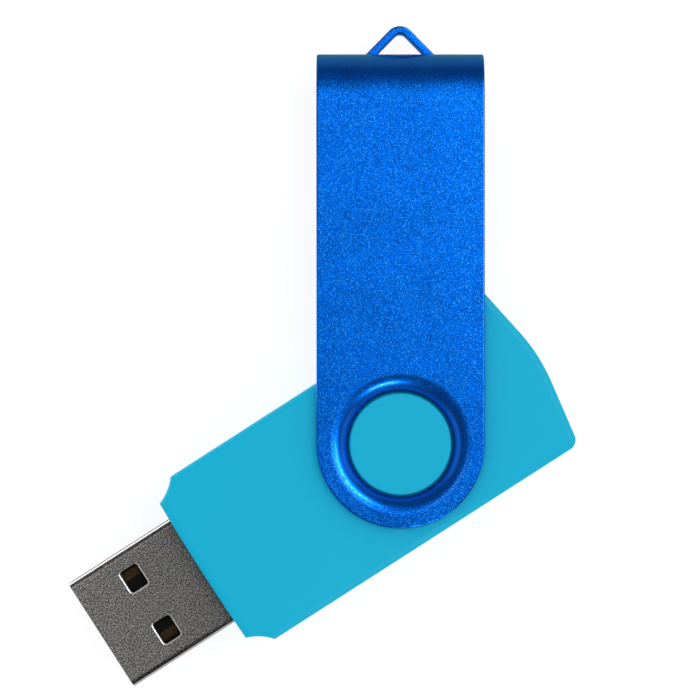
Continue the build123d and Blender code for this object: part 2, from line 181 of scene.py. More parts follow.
# %% A material
class Finish(NodeTree):
    """A material with one Principled shader, and short ways to add nodes in front of it."""

    def __init__(self, name, **constants):
        self.material = bpy.data.materials.new(name)
        super().__init__(self.material)
        self.shader = self.nodes["Principled BSDF"]
        for socket_name, value in constants.items():
            self.shader.inputs[socket_name.replace("_", " ")].default_value = value

    def place(self, stretch=(1, 1, 1), turn=0.0):
        """Object coordinates, turned about Z and then scaled."""
        place = self.node("ShaderNodeTexCoord", output="Object")
        turned = self.node("ShaderNodeMapping", None, place, (0, 0, 0), (0, 0, turn))
        return self.node("ShaderNodeMapping", None, turned, (0, 0, 0), (0, 0, 0), stretch)

    def plug_place(self):
        """Object coordinates from the swivel axis, turned so that x runs along the plug."""
        place = self.node("ShaderNodeTexCoord", output="Object")
        centered = self.node("ShaderNodeMapping", None, place, -PIVOT)
        return self.node("ShaderNodeMapping", None, centered, (0, 0, 0), (0, 0, -PLUG_TURN))

    def normal(self):
        return self.node("ShaderNodeNewGeometry", output="Normal")

    def upright(self):
        """1 where the surface faces up or down, and 0 on an upright wall."""
        return self.split(self.normal())[2].math("ABSOLUTE")

    def split(self, vector):
        """The x, y and z of a vector."""
        parts = self.node("ShaderNodeSeparateXYZ", None, vector).socket.node.outputs
        return [Value(self, part) for part in parts]

    def noise(self, place, scale, detail=2.0, roughness=0.5):
        return self.node(
            "ShaderNodeTexNoise", None, Vector=place, Scale=scale, Detail=detail,
            Roughness=roughness,
        )

    def ramp(self, factor, stops):
        return self.node("ShaderNodeValToRGB", {"stops": stops}, factor)

    def levels(self, value, low, high, to_low=0.0, to_high=1.0):
        """Stretches low..high to to_low..to_high, and holds it there outside."""
        return self.node("ShaderNodeMapRange", None, value, low, high, to_low, to_high)

    def mix(self, factor, first, second, blend="MIX"):
        """Mixes two colours. Mix has other sockets for numbers, so its own go by number."""
        settings = {"data_type": "RGBA", "blend_type": blend}
        sockets = {0: factor, 6: first, 7: second}
        return self.node("ShaderNodeMix", settings, at=sockets, output=2)

    def shaded(self, color, share, blue_share=None):
        """A colour times a varying share of it."""
        blue_share = share if blue_share is None else blue_share
        shares = self.node("ShaderNodeCombineColor", None, share, share, blue_share)
        return self.mix(1.0, color, shares, "MULTIPLY")

    def bump(self, height, strength, distance):
        return self.node(
            "ShaderNodeBump", None, Height=height, Strength=strength, Distance=distance
        )

    def set(self, socket_name, value):
        self.links.new(value.socket, self.shader.inputs[socket_name.replace("_", " ")])


def grey(level):
    return (level, level, level, 1)


# %% [markdown]
# ## Hand tools
#
# Every new piece is modelled as by hand, in millimetres, with the swivel axis at the origin.
# A flat piece or a block is shaped in edit mode; a round piece starts as one point, which
# Extrude and Spin draw into a profile. The helpers only shorten the steps that come back, such
# as picking faces by where they are. The finished piece is brought to metres and to its place.

# %% Starting shapes
ROUND_SIDES = 144  # of everything round; a hole and its collar need the same number


def drop_all():
    """Leaves edit mode, with no object selected."""
    if bpy.context.mode == "EDIT_MESH":
        bpy.ops.object.mode_set(mode="OBJECT")
    bpy.ops.object.select_all(action="DESELECT")


def block(name, low, high):
    """A box between two corners, alone in edit mode."""
    low, high = Vector(low), Vector(high)
    drop_all()
    bpy.ops.mesh.primitive_cube_add(size=1, location=(low + high) / 2, scale=high - low)
    return start_editing(name)


def rod(name, radius, low_z, high_z, sides=ROUND_SIDES, x=0, y=0):
    """An upright round rod, alone in edit mode."""
    drop_all()
    bpy.ops.mesh.primitive_cylinder_add(
        vertices=sides, radius=radius, depth=high_z - low_z, location=(x, y, (low_z + high_z) / 2)
    )
    return start_editing(name)


def point(name, place):
    """One picked vertex, as the start of a drawn line."""
    drop_all()
    bpy.ops.mesh.primitive_plane_add(size=1, location=place)
    piece = start_editing(name)
    bpy.ops.mesh.merge(type="CENTER")
    return piece


def start_editing(name):
    piece = bpy.context.object
    piece.name = name
    bpy.ops.object.transform_apply()
    bpy.ops.object.mode_set(mode="EDIT")
    bpy.ops.mesh.select_mode(type="VERT")
    bpy.ops.mesh.select_all(action="SELECT")
    return piece


# %% Picking
NEAR = 0.01  # how far apart counts as the same place


def pick(test, kind="FACE"):
    """Selects only the faces, edges or vertices of the edited mesh that pass a test."""
    bpy.ops.mesh.select_mode(type=kind)
    bpy.ops.mesh.select_all(action="DESELECT")
    mesh = bmesh.from_edit_mesh(bpy.context.object.data)
    items = {"FACE": mesh.faces, "EDGE": mesh.edges, "VERT": mesh.verts}[kind]
    for item in [item for item in items if test(item)]:
        item.select_set(True)
    bmesh.update_edit_mesh(bpy.context.object.data)


def picked_vertex():
    """Where the first picked vertex is."""
    mesh = bmesh.from_edit_mesh(bpy.context.object.data)
    return next(vertex.co.copy() for vertex in mesh.verts if vertex.select)


def middle(edge):
    return (edge.verts[0].co + edge.verts[1].co) / 2


def center(face):
    return face.calc_center_median()


def is_corner(edge):
    """Whether an edge's two faces meet at about a right angle, which is 1.57 radians."""
    return edge.calc_face_angle(0) > 1.2


# %% Shaping
def extrude(way):
    bpy.ops.mesh.extrude_region_move(TRANSFORM_OT_translate={"value": tuple(way)})


def turn(angle, center, axis, steps):
    """Carries what is picked round an axis by the right-hand rule; Spin counts the other way."""
    bpy.ops.mesh.spin(steps=steps, angle=-angle, center=center, axis=axis)


def bevel(width, steps, affect="EDGES"):
    bpy.ops.mesh.bevel(offset=width, segments=steps, affect=affect)


def line_to(x, y, z):
    """Draws a straight line from the picked vertex."""
    extrude(Vector((x, y, z)) - picked_vertex())


def close_up():
    """Merges what meets, and turns every face outwards."""
    bpy.ops.mesh.select_mode(type="VERT")
    bpy.ops.mesh.select_all(action="SELECT")
    bpy.ops.mesh.remove_doubles(threshold=0.0005)
    bpy.ops.mesh.normals_make_consistent(inside=False)


def revolve():
    """Turns a drawn profile all the way round the swivel axis."""
    bpy.ops.mesh.select_all(action="SELECT")
    turn(2 * pi, (0, 0, 0), UP, ROUND_SIDES)
    close_up()


def tell(what):
    """Prints how far the edited piece has come."""
    print(what, len(bmesh.from_edit_mesh(bpy.context.object.data).faces), "faces")


# %% Modifiers and joining
def pick_objects(*pieces):
    drop_all()
    for piece in pieces:
        piece.select_set(True)
    bpy.context.view_layer.objects.active = pieces[0]


def use_modifier(piece, kind, **settings):
    """Adds a modifier and applies it at once."""
    pick_objects(piece)
    modifier = piece.modifiers.new(kind.lower(), kind)
    for setting, value in settings.items():
        setattr(modifier, setting, value)
    bpy.ops.object.modifier_apply(modifier=modifier.name)


def carve(piece, tool, operation="DIFFERENCE"):
    """Cuts a tool out of a piece, adds it or keeps what both hold, and drops the tool."""
    use_modifier(piece, "BOOLEAN", operation=operation, object=tool, solver="EXACT")
    bpy.data.objects.remove(tool)
    bpy.ops.object.mode_set(mode="EDIT")
    close_up()


def join(first, *others):
    """Makes one object of several, as loose parts of the first, back in edit mode."""
    pick_objects(first, *others)
    bpy.ops.object.join()
    bpy.ops.object.mode_set(mode="EDIT")


# %% Finishing a piece
SMOOTH_UP_TO = radians(30)  # sharper edges stay sharp


def open_edges(piece):
    """How many edges don't have exactly two faces."""
    mesh = bmesh.new()
    mesh.from_mesh(piece.data)
    count = sum(len(edge.link_faces) != 2 for edge in mesh.edges)
    mesh.free()
    return count


def place_piece(piece, body, node, finish):
    """Smooths a piece, brings it to metres and its place, and hands it to its body."""
    pick_objects(piece)
    piece.location = (PIVOT.x, PIVOT.y, 0)
    if body == "drive":
        piece.rotation_euler.z = PLUG_TURN
    piece.scale = (MM, MM, MM)
    bpy.ops.object.transform_apply()
    bpy.ops.object.shade_smooth_by_angle(angle=SMOOTH_UP_TO)
    use_modifier(piece, "WEIGHTED_NORMAL", keep_sharp=True)
    piece.data.materials.clear()
    piece.data.materials.append(finish.material)
    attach(piece, body)
    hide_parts(node)
    print(piece.name, len(piece.data.polygons), "faces,", open_edges(piece), "open edges")


# %% [markdown]
# ## Table, light and room
#
# Moulded plastic looks best in an even light, and bent metal in an uneven one, because metal
# shows its shape only by the bright and dark things it mirrors. A studio makes such a room with
# screens and cards. In Blender the table, the lights and the room can also tell matt rays from
# mirrored ones, so here each of them is set once for matt surfaces and once for shiny ones.

# %% Table
# Matt surfaces and the camera see a white table with a faint shadow. Shiny surfaces mirror a
# dimmer one, so that their rims stay darker than the table they lie on.
TABLE_SIZE = 3.0
TABLE_GLOW = 0.8
TABLE_MIRRORED = 0.36

drop_all()
bpy.ops.mesh.primitive_plane_add(size=TABLE_SIZE, location=(0, 0, -0.02 * MM))
table = bpy.context.object
table.name = "table"
white = Finish(
    "table_white", Base_Color=grey(0.35), Roughness=0.7, Emission_Color=grey(1.0),
    Emission_Strength=TABLE_GLOW,
)
mirrored = white.node("ShaderNodeEmission", None, grey(1.0), TABLE_MIRRORED)
glossy_ray = white.node("ShaderNodeLightPath", output="Is Glossy Ray")
matt = Value(white, white.shader.outputs[0])
white.show(white.node("ShaderNodeMixShader", None, glossy_ray, matt, mirrored), "Material Output")
white.material.cycles.emission_sampling = "NONE"
table.data.materials.append(white.material)
table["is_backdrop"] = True
print("table", TABLE_SIZE, "m wide")

# %% Soft lights
# The overhead lights fill the whole drive. The key light and the small ring light draw the two
# highlights of the rolled collar, and the dim walls run along the sheet's edges.
LIGHTS = {  # name: bearing and height in degrees, distance, width and height, brightness
    "overhead_right": (24, 74, 0.9, (0.26, 0.26), 3.1),
    "overhead_left": (140, 74, 0.9, (0.22, 0.26), 2.1),
    "key_light": (30, 54, 0.8, (0.58, 0.24), 8.0),
    "ring_light": (-73, 41, 0.06, (0.020, 0.008), 20.0),
    "wall_right": (0, 10, 0.9, (1.3, 0.30), 0.55),
    "wall_left": (180, 10, 0.9, (1.3, 0.30), 0.55),
}
MATT_SEES = ("overhead_right", "overhead_left")  # the other lights are only for shiny faces


def soft_light(name, place, rotation, size, brightness):
    """A rectangular light, whose brightness is what a mirror shows of it."""
    bpy.ops.object.light_add(type="AREA", location=place)
    light = bpy.context.object
    light.name = name
    light.rotation_euler = rotation
    light.data.shape = "RECTANGLE"
    light.data.size, light.data.size_y = size
    light.data.energy = brightness * pi * size[0] * size[1]
    light.visible_diffuse = name in MATT_SEES
    print(name, round(light.data.energy, 2), "W")


for name, (bearing, height, distance, size, brightness) in LIGHTS.items():
    way = Vector((
        cos(radians(height)) * cos(radians(bearing)),
        cos(radians(height)) * sin(radians(bearing)),
        sin(radians(height)),
    ))
    facing = way.to_track_quat("Z", "Y").to_euler()
    soft_light(name, PIVOT + way * distance, facing, size, brightness)


# %% Light and dark beside the plug
# A light that lies on the table shines in the rounded edge of the plug. A black card under the
# plug is a painted shadow: it stands in for the shade on the table there, so that the side wall
# mirrors it as a thin dark line. Only mirrors see the two.
def beside_plug(along, aside, height):
    """A place so far along the plug from the swivel axis, and so far aside, in mm."""
    place = PIVOT + (PLUG_WAY * along - SIDE_WAY * aside) * MM
    place.z = height * MM
    return place


soft_light("plug_card", beside_plug(28, 26, 0.1), (pi, 0, PLUG_TURN), (0.050, 0.030), 1.5)

drop_all()
bpy.ops.mesh.primitive_plane_add(
    size=1, location=beside_plug(29, 5, -0.01), rotation=(0, 0, PLUG_TURN)
)
painted_shadow_card = bpy.context.object
painted_shadow_card.name = "painted_shadow_card"
painted_shadow_card.scale = (14 * MM, 8 * MM, 1)
painted_shadow_card.data.materials.append(
    Finish("card_black", Base_Color=grey(0.004), Roughness=1.0).material
)
painted_shadow_card.visible_camera = painted_shadow_card.visible_diffuse = painted_shadow_card.visible_shadow = False
painted_shadow_card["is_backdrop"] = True
print(painted_shadow_card.name, "of 14 x 8 mm")

# %% Room
# The camera sees a pale backdrop, matt surfaces a bright room and shiny ones a dim room.
ROOM_MIRRORED = 0.15
ROOM_SEEN = {"Is Diffuse Ray": 0.66, "Is Camera Ray": 0.93}

world = bpy.data.worlds.new("studio")
bpy.context.scene.world = world
room = NodeTree(world)
room.nodes["Background"].inputs["Color"].default_value = grey(ROOM_MIRRORED)
view = Value(room, room.nodes["Background"].outputs[0])
for ray_name, brightness in ROOM_SEEN.items():
    ray = room.node("ShaderNodeLightPath", output=ray_name)
    background = room.node("ShaderNodeBackground", None, grey(brightness))
    view = room.node("ShaderNodeMixShader", None, ray, view, background)
room.show(view, "World Output")
bpy.context.scene.view_settings.view_transform = "Standard"
print("room", ROOM_MIRRORED, ROOM_SEEN)

# %% [markdown]
# ## Finishes
#
# The cover is bead-blasted and then dyed blue in the anodising bath. Blasting leaves a grain of
# soft dimples about an eighth of a millimetre apart, so the metal glitters instead of
# mirroring. The grain is mostly a change of brightness from dimple to dimple, with a shallow
# bump under it for the light that comes in low. Where the sheet was rolled and bent, the press
# tool flattened the grain, and its steep faces get a paler, greyer blue as a painted reflection.
# The thin clear seal over the dye is a coat, which gives the highlights their white heart.

# %% Anodised aluminium
BLUE_GRAIN = [  # from the bottom of a dimple to the top of its rim
    (0.0, (0.0001, 0.055, 0.37, 1)), (0.35, (0.0002, 0.120, 0.68, 1)),
    (0.60, (0.0003, 0.178, 0.96, 1)), (0.82, (0.0015, 0.245, 1.0, 1)),
    (1.0, (0.05, 0.42, 1.0, 1)),
]
# the paler, greyer blue of the painted reflection on steep faces of the bend and collar
BLUE_PAINTED_REFLECTION = (0.03, 0.24, 0.62, 1)


def anodised_aluminium():
    finish = Finish(
        "anodised_blue", Metallic=1.0, Specular_Tint=(0.5, 1, 1, 1), Coat_Weight=0.16,
        Coat_Roughness=0.06,
    )
    place = finish.place()
    dimples = finish.noise(place, 7800, detail=1.0)
    clouds = finish.noise(place, 260, detail=3.0)
    upright = finish.upright()
    pressed = finish.levels(upright, 0.985, 0.90) * 0.6
    # Painted reflection: steep faces are mixed towards a paler, greyer blue.
    steep_painted_reflection = finish.levels(upright, 0.90, 0.45) * 0.75
    grain = dimples * (1 - pressed) + pressed * 0.5
    blue = finish.ramp(finish.levels(grain, 0.30, 0.70), BLUE_GRAIN)
    blue = finish.mix(steep_painted_reflection, blue, BLUE_PAINTED_REFLECTION)
    shade = finish.levels(clouds, 0.3, 0.7, 0.95, 1.05)
    finish.set("Base_Color", finish.shaded(blue, shade))
    finish.set("Roughness", finish.levels(clouds, 0.3, 0.7, 0.30, 0.36))
    finish.set("Normal", finish.bump(grain, 0.3, 0.015 * MM))
    return finish


# %% [markdown]
# The housing is a plain moulded plastic with a satin face. The mould was spark-eroded, which
# prints a texture far finer than the cover's grain, and the colour is even, apart from slight
# clouds where the melt flowed.

# %% Moulded plastics
def moulded_plastic(name, color, low, high, texture, roughness):
    """A satin plastic: its colour clouds between two shares of it, over a fine texture."""
    finish = Finish(name, Roughness=roughness, Specular_IOR_Level=0.15)
    place = finish.place()
    clouds = finish.noise(place, 140, detail=3.0)
    grain = finish.noise(place, 14000)
    darker = tuple(channel * low for channel in color) + (1,)
    lighter = tuple(channel * high for channel in color) + (1,)
    flow = finish.levels(clouds * 0.8 + grain * 0.2, 0.3, 0.7)
    finish.set("Base_Color", finish.mix(flow, darker, lighter))
    finish.set("Roughness", finish.levels(clouds, 0.3, 0.7, roughness - 0.05, roughness + 0.05))
    finish.set("Normal", finish.bump(grain, texture, 0.004 * MM))
    return finish


# %% [markdown]
# The plug's sleeve is nickel-plated steel. Its flat faces keep the matt grain of the rolled
# sheet, warm and cool specks together, while its folded corners and pierced rims are burnished
# by the tools, smoother, and painted near white as a painted highlight. Its upright walls, the
# rounded edge and side wall on one side, and its inside are painted darker as painted shade, and
# the whole sleeve is darker towards the housing. Each of these zones is a mask, 1 where it is
# and 0 elsewhere, worked out from where a point lies on the sleeve and which way it faces.

# %% Plated steel
STEEL_GRAIN = [(0.0, grey(0.07)), (0.5, grey(0.24)), (1.0, grey(0.62))]
STEEL_HUES = [
    (0.0, (1.12, 0.97, 0.88, 1)), (0.5, (1.0, 0.985, 0.96, 1)), (1.0, (0.93, 0.99, 1.06, 1)),
]
# the near white of the painted highlight on the sleeve's corners and rims
STEEL_PAINTED_HIGHLIGHT = grey(0.92)
SLEEVE_FLAT = (5.25 * MM, 5.30 * MM)  # how far aside its flat faces end
SLEEVE_BORE = ((5.68 * MM, 5.72 * MM), (1.94 * MM, 1.97 * MM))  # how far its inside goes


def plated_steel():
    finish = Finish("plated_steel")
    place = finish.plug_place()
    along, across, height = finish.split(place)
    across = across.math("ABSOLUTE")
    depth = (height - (THICKNESS / 2 - PIVOT.z)).math("ABSOLUTE")
    upright = finish.upright()
    aside = finish.node(
        "ShaderNodeVectorMath", {"operation": "DOT_PRODUCT"}, finish.normal(), SIDE_WAY,
        output="Value",
    )
    on_flat = finish.levels(across, *SLEEVE_FLAT, 1, 0)
    in_bore = [finish.levels(far, *ends, 1, 0) for far, ends in zip((across, depth), SLEEVE_BORE)]
    # The inside of the sleeve, which gets painted shade and no painted highlight.
    inside = in_bore[0] * in_bore[1]
    rim = finish.levels(upright, 0.995, 0.95) * on_flat
    corner = finish.levels(upright, 0.74, 0.64) * finish.levels(upright, 0.34, 0.42)
    # Painted highlight: corners and rims are painted near white and made less metallic, so that they show as
    # bright lines; they are also smoother, as burnished metal is.
    burnish_and_painted_highlight = rim.math("MAXIMUM", corner) * (1 - inside)
    # Upright walls, which get painted shade at half brightness.
    wall = finish.levels(upright, 0.42, 0.34) * (1 - rim)
    # Painted shade on the rounded edge and side wall that face one side.
    one_side_painted_shade = finish.levels(aside, 0.02, 0.30) * (1 - on_flat) * 0.75

    grain = finish.noise(place, 7600, detail=1.0)
    tint = finish.noise(place, 5200, detail=1.0)
    steel = finish.ramp(finish.levels(grain, 0.30, 0.70), STEEL_GRAIN)
    hue = finish.ramp(finish.levels(tint, 0.35, 0.65), STEEL_HUES)
    # Darker towards the housing, and painted shade on the walls, the inside and one side.
    darkening_and_painted_shade = finish.levels(along, 24 * MM, 34 * MM, 0.70, 1.05) * (1 - wall * 0.5)
    darkening_and_painted_shade = darkening_and_painted_shade * (1 - inside * 0.85) * (1 - one_side_painted_shade)
    color = finish.shaded(finish.mix(1.0, steel, hue, "MULTIPLY"), darkening_and_painted_shade, darkening_and_painted_shade * 0.98)
    finish.set("Base_Color", finish.mix(burnish_and_painted_highlight, color, STEEL_PAINTED_HIGHLIGHT))
    finish.set("Metallic", 1 - burnish_and_painted_highlight * 0.4)
    finish.set("Roughness", finish.levels(grain, 0.3, 0.7, 0.30, 0.38) - burnish_and_painted_highlight * 0.12)
    finish.set("Normal", finish.bump(grain * (1 - burnish_and_painted_highlight), 0.25, 0.008 * MM))
    return finish


# %% [markdown]
# The metals inside differ in colour, in how rough they are and in how their surface was
# formed: gold plating is smooth with a faint rolled line, tin plating is matt and cloudy, and
# reflowed solder is smooth and slightly rippled.

# %% Small metals
def small_metal(name, dark, light, roughness, scale, stretch=(1, 1, 1)):
    finish = Finish(name, Metallic=1.0)
    place = finish.place(stretch, -PLUG_TURN)
    cloud = finish.noise(place, scale, detail=4.0, roughness=0.6)
    finish.set("Base_Color", finish.mix(finish.levels(cloud, 0.3, 0.7), dark, light))
    finish.set("Roughness", finish.levels(cloud, 0.3, 0.7, roughness + 0.07, roughness - 0.07))
    finish.set("Normal", finish.bump(cloud, 0.2, 0.01 * MM))
    return finish


# %% [markdown]
# The board is glass laminate under green solder mask: the copper tracks under the mask show as
# slightly lighter, raised lines, and the bare edge shows pale resin. Ceramic parts are dull,
# with a fine speckle.

# %% Board and ceramics
MASK_GREEN = (0.006, 0.085, 0.030, 1)
MASK_OVER_COPPER = (0.012, 0.16, 0.055, 1)
MASK_OVER_GLASS = (0.02, 0.10, 0.04, 1)
BARE_RESIN = (0.33, 0.30, 0.16, 1)


def board_laminate():
    finish = Finish("solder_mask", Specular_IOR_Level=0.5)
    place = finish.place(turn=-PLUG_TURN)
    weave = finish.noise(place, 2600)
    tracks = finish.node(
        "ShaderNodeTexBrick", {"offset": 0.5, "squash": 1.0}, Vector=place, Scale=420.0,
        Mortar_Size=0.09, Mortar_Smooth=0.2, Bias=0.0, Brick_Width=1.4, Row_Height=0.45, output=1,
    )
    mask = finish.mix(tracks, MASK_GREEN, MASK_OVER_COPPER)
    speckled = finish.mix(finish.levels(weave, 0.3, 0.7, 0.0, 0.35), mask, MASK_OVER_GLASS)
    side = finish.levels(finish.upright(), 0.5, 0.6, 1.0, 0.0)
    finish.set("Base_Color", finish.mix(side, speckled, BARE_RESIN))
    finish.set("Roughness", finish.levels(weave, 0.3, 0.7, 0.28, 0.4) + side * 0.4)
    finish.set("Normal", finish.bump(tracks + weave * 0.2, 0.4, 0.02 * MM))
    return finish


def ceramic(name, dark, light, roughness):
    finish = Finish(name, Specular_IOR_Level=0.5)
    speckle = finish.noise(finish.place(), 5000, detail=4.0, roughness=0.7)
    finish.set("Base_Color", finish.mix(finish.levels(speckle, 0.35, 0.65), dark, light))
    finish.set("Roughness", finish.levels(speckle, 0.3, 0.7, roughness - 0.06, roughness + 0.06))
    finish.set("Normal", finish.bump(speckle, 0.3, 0.01 * MM))
    return finish


# %% All finishes by material slot
CYAN = (0.0, 0.545, 0.835)
BLACK = (0.004, 0.0038, 0.0035)
ALONG_PLUG = (0.15, 1, 1)  # draws a pattern out into lines

FINISHES = {
    "cover_aluminium": anodised_aluminium(),
    "housing_plastic": moulded_plastic("cyan_plastic", CYAN, 0.99, 1.01, 0.15, 0.5),
    "plug_steel": plated_steel(),
    "insulator_plastic": moulded_plastic("black_plastic", BLACK, 0.8, 1.3, 0.3, 0.35),
    # The contacts' gold is painted far darker than bright gold, as painted shade for contacts deep inside the
    # plug.
    "contact_gold": small_metal(
        "gold_plating_painted_shade", (0.04, 0.026, 0.015, 1), (0.08, 0.052, 0.028, 1), 0.4, 1500, ALONG_PLUG
    ),
    "board_laminate": board_laminate(),
    "chip_resin": ceramic(
        "chip_resin", (0.012, 0.012, 0.013, 1), (0.035, 0.035, 0.037, 1), 0.6
    ),
    "tinned_leads": small_metal(
        "tin_plating", (0.42, 0.42, 0.41, 1), (0.68, 0.68, 0.66, 1), 0.38, 2500
    ),
    "crystal_ceramic": ceramic(
        "crystal_ceramic", (0.03, 0.027, 0.024, 1), (0.07, 0.062, 0.055, 1), 0.7
    ),
    "capacitor_ceramic": ceramic(
        "capacitor_ceramic", (0.27, 0.16, 0.08, 1), (0.42, 0.27, 0.14, 1), 0.55
    ),
    "resistor_ceramic": ceramic(
        "resistor_glaze", (0.012, 0.012, 0.014, 1), (0.03, 0.03, 0.034, 1), 0.3
    ),
    "solder": small_metal("solder", grey(0.55), grey(0.75), 0.22, 1800),
}
print(len(FINISHES), "finishes")

# %% [markdown]
# ## The swivel cover
#
# The real cover is blanked from 0.8 mm sheet with a round end, bent twice into a U, and its
# swivel holes are rolled inwards into smooth collars. It could be one extruded outline, but a
# bent sheet is easiest to read, and to change, when it is made the way it is bent: one arm,
# a Spin round the first bend, the end wall, a Spin round the second bend, and the other arm.

# %% Bending the strip
SHEET = 0.8
HALF_COVER = 8.25
COVER_REACH = 38.5  # from the swivel axis
BEND_RADIUS = 4.3  # of the outside
BEND_STEPS = 20
HEIGHT = THICKNESS / MM
MIDDLE = HEIGHT / 2

flat_end = COVER_REACH - BEND_RADIUS
cover = block("cover_sheet", (-HALF_COVER, -HALF_COVER - 1, 0), (HALF_COVER, flat_end, SHEET))
pick(lambda face: face.normal.y > 0.9)
turn(pi / 2, (0, flat_end, BEND_RADIUS), (1, 0, 0), BEND_STEPS)
extrude((0, 0, HEIGHT - 2 * BEND_RADIUS))
turn(pi / 2, (0, flat_end, HEIGHT - BEND_RADIUS), (1, 0, 0), BEND_STEPS)
extrude((0, -flat_end - HALF_COVER - 1, 0))
tell("bent strip:")

# %% Rounding its end and its edges
EDGE_ROUND = 0.18

outline = rod("outline", HALF_COVER, -1, HEIGHT + 1)
straight = block(
    "straight", (-HALF_COVER - 1.75, 0, -1), (HALF_COVER + 1.75, COVER_REACH + 1, HEIGHT + 1)
)
carve(outline, straight, "UNION")
carve(cover, outline, "INTERSECT")


def on_side(face):
    """Whether a face is part of the strip's sheared edge."""
    round_end = center(face).y < 0 and center(face).xy.length > HALF_COVER - NEAR
    return abs(face.normal.x) > 0.99 or (round_end and abs(face.normal.z) < 0.1)


pick(lambda edge: sum(on_side(face) for face in edge.link_faces) == 1, "EDGE")
bevel(EDGE_ROUND, 3)
tell("cover with rounded edges:")

# %% [markdown]
# The collar is drawn as a profile, one point turned through two arcs, and revolved. Its two
# rims have as many vertices as the hole in the arm, so they merge into one smooth sheet.

# %% Swivel holes with rolled collars
HOLE_RADIUS = 5.12
COLLAR_RADIUS = 1.9  # of the roll's outside
COLLAR_STEPS = 12
COLLAR_TURN = radians(78)
RIM_ROUND = 0.2
collar_start = HOLE_RADIUS + COLLAR_RADIUS * sin(COLLAR_TURN)


def collar(name):
    """One rolled collar, drawn inwards from the underside of the lower arm."""
    roll_center = (collar_start, 0, COLLAR_RADIUS)
    inner_radius = COLLAR_RADIUS - SHEET
    piece = point(name, (collar_start, 0, 0))
    turn(COLLAR_TURN, roll_center, (0, 1, 0), COLLAR_STEPS)
    line_to(
        collar_start - inner_radius * sin(COLLAR_TURN), 0,
        COLLAR_RADIUS - inner_radius * cos(COLLAR_TURN),
    )
    turn(-COLLAR_TURN, roll_center, (0, 1, 0), COLLAR_STEPS)
    tip = COLLAR_RADIUS - COLLAR_RADIUS * cos(COLLAR_TURN) - NEAR
    pick(lambda vertex: vertex.co.z > tip and len(vertex.link_edges) == 2
         and abs(vertex.link_edges[0].calc_length() - vertex.link_edges[1].calc_length()) > 0.1,
         "VERT")
    bevel(RIM_ROUND, 4, "VERTICES")
    revolve()
    return piece


hole = rod("hole", collar_start, -1, HEIGHT + 1)
carve(cover, hole)
pick(lambda face: abs(center(face).xy.length - collar_start) < NEAR
     and abs(face.normal.z) < 0.1)
bpy.ops.mesh.delete(type="FACE")
lower_collar = collar("lower_collar")
upper_collar = collar("upper_collar")
bpy.ops.mesh.select_all(action="SELECT")
bpy.ops.transform.mirror(constraint_axis=(False, False, True), center_override=(0, 0, MIDDLE))
join(cover, lower_collar, upper_collar)
close_up()
tell("cover with collars:")

# %% [markdown]
# The lanyard loop is a strip lanced out of the closed end. Here too the slot comes first, and
# then the strip grows out of one end of the slot: three Spins and two straight legs carry its
# end face round to the slot's other end, where the two faces are let into each other.

# %% Slot and lanyard loop
LOOP_STRIP = 2.0
LOOP_CUT = 0.08
HALF_SPAN = 3.25
LEG_ANGLE = radians(45.5)
TIP_BEND = 1.1
FOOT_BEND = 0.9
LOOP_ROUND = 0.16

half_slot = HALF_SPAN + FOOT_BEND / 2
wall_middle = COVER_REACH - SHEET / 2
foot_run = FOOT_BEND * tan(LEG_ANGLE / 2)
leg_length = HALF_SPAN / cos(LEG_ANGLE) - foot_run - TIP_BEND * tan(LEG_ANGLE)
apex = wall_middle + HALF_SPAN * tan(LEG_ANGLE)
tip_center = (0, apex - TIP_BEND / cos(LEG_ANGLE), MIDDLE)
lead_in = half_slot - HALF_SPAN - foot_run

slot_height = LOOP_STRIP / 2 + LOOP_CUT
slot = block(
    "slot", (-half_slot, COVER_REACH - 2 * SHEET, MIDDLE - slot_height),
    (half_slot, COVER_REACH + SHEET, MIDDLE + slot_height),
)
carve(cover, slot)


def pick_slot_end(side):
    """Picks the middle of the slot's end face on one side, as tall as the strip."""
    pick(lambda face: abs(center(face).x - side * half_slot) < NEAR
         and abs(center(face).z - MIDDLE) < NEAR)


for height in (-LOOP_STRIP / 2, LOOP_STRIP / 2):
    pick(lambda face: abs(face.normal.x) > 0.99
         and abs(abs(center(face).x) - half_slot) < NEAR)
    bpy.ops.mesh.bisect(plane_co=(0, 0, MIDDLE + height), plane_no=UP)
pick_slot_end(1)
bpy.ops.mesh.delete(type="FACE")
pick_slot_end(-1)
extrude((lead_in, 0, 0))
turn(LEG_ANGLE, (-HALF_SPAN - foot_run, wall_middle + FOOT_BEND, MIDDLE), UP, 8)
extrude(Vector((cos(LEG_ANGLE), sin(LEG_ANGLE), 0)) * leg_length)
turn(-2 * LEG_ANGLE, tip_center, UP, 16)
extrude(Vector((cos(LEG_ANGLE), -sin(LEG_ANGLE), 0)) * leg_length)
turn(LEG_ANGLE, (HALF_SPAN + foot_run, wall_middle + FOOT_BEND, MIDDLE), UP, 8)
extrude((lead_in, 0, 0))
bpy.ops.mesh.delete(type="FACE")
close_up()
pick(lambda edge: is_corner(edge)
     and (middle(edge).y > COVER_REACH + 0.02 or abs(middle(edge).x) < HALF_SPAN + 0.1)
     and middle(edge).y > COVER_REACH - SHEET - 0.02
     and abs(abs(middle(edge).z - MIDDLE) - LOOP_STRIP / 2) < NEAR, "EDGE")
bevel(LOOP_ROUND, 3)
tell("cover with its loop:")

# %% [markdown]
# ## The housing
#
# The housing is moulded in two shells that meet at half height. Seen from above, its nose is
# slightly bowed, the corners beside the plug are cut off with a hollow line and the tail comes
# to a blunt, rounded point. The outline is drawn with the same two moves as everything round
# here, Extrude for a straight stretch and Spin for an arc, then filled and pulled up. The
# lower shell is modelled, and the upper one is the same function turned over.

